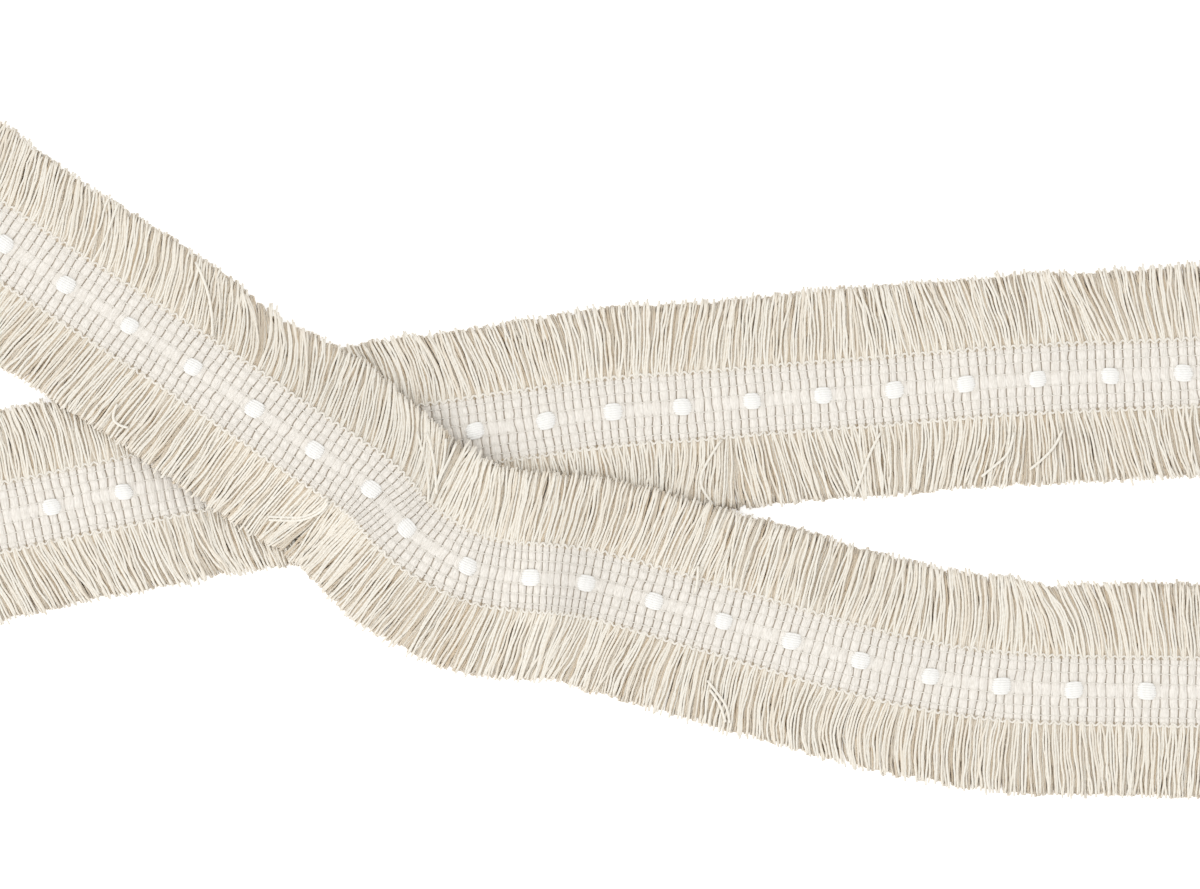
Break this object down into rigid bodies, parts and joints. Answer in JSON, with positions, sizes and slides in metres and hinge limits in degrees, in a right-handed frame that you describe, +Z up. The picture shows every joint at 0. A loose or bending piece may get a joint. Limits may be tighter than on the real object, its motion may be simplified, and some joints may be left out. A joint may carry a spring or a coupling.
{
  "type": "dot fringe trim",
  "caption": "Ribbed woven tape with a row of raised white dots and a cut fringe along both edges, turned back in a flat loop so that it crosses over itself.",
  "frame": {"origin": "middle of the outline seen from above, on the surface that the trim lies on", "axes": "+X along the outline's longest side, from the loop towards the two cut ends; +Y from the over strand's cut end towards the under strand's; +Z up"},
  "size_m": [0.4703, 0.203, 0.0096],
  "materials": {
    "woven_tape": "matt ribbed weave in warm off-white",
    "fringe_yarn": "matt two-ply cream yarn",
    "dot_yarn": "soft white floated yarn"
  },
  "bodies": {
    "root": {"tape": "woven_tape", "fringe_inner_start": "fringe_yarn", "fringe_inner_loop": "fringe_yarn", "fringe_inner_crossing": "fringe_yarn", "fringe_inner_end": "fringe_yarn", "fringe_outer_start": "fringe_yarn", "fringe_outer_loop": "fringe_yarn", "fringe_outer_crossing": "fringe_yarn", "fringe_outer_end": "fringe_yarn", "dot_01": "dot_yarn", "dot_02": "dot_yarn", "dot_03": "dot_yarn", "dot_04": "dot_yarn", "dot_05": "dot_yarn", "dot_06": "dot_yarn", "dot_07": "dot_yarn", "dot_08": "dot_yarn", "dot_09": "dot_yarn", "dot_10": "dot_yarn", "dot_11": "dot_yarn", "dot_12": "dot_yarn", "dot_13": "dot_yarn", "dot_14": "dot_yarn", "dot_15": "dot_yarn", "dot_16": "dot_yarn", "dot_17": "dot_yarn", "dot_18": "dot_yarn", "dot_19": "dot_yarn", "dot_20": "dot_yarn", "dot_21": "dot_yarn", "dot_22": "dot_yarn", "dot_23": "dot_yarn", "dot_24": "dot_yarn", "dot_25": "dot_yarn", "dot_26": "dot_yarn", "dot_27": "dot_yarn", "dot_28": "dot_yarn", "dot_29": "dot_yarn", "dot_30": "dot_yarn", "dot_31": "dot_yarn", "dot_32": "dot_yarn", "dot_33": "dot_yarn", "dot_34": "dot_yarn", "dot_35": "dot_yarn", "dot_36": "dot_yarn", "dot_37": "dot_yarn", "dot_38": "dot_yarn", "dot_39": "dot_yarn", "dot_40": "dot_yarn", "dot_41": "dot_yarn", "dot_42": "dot_yarn", "dot_43": "dot_yarn", "dot_44": "dot_yarn", "dot_45": "dot_yarn", "dot_46": "dot_yarn", "dot_47": "dot_yarn", "dot_48": "dot_yarn", "dot_49": "dot_yarn"}
  },
  "joints": []
}
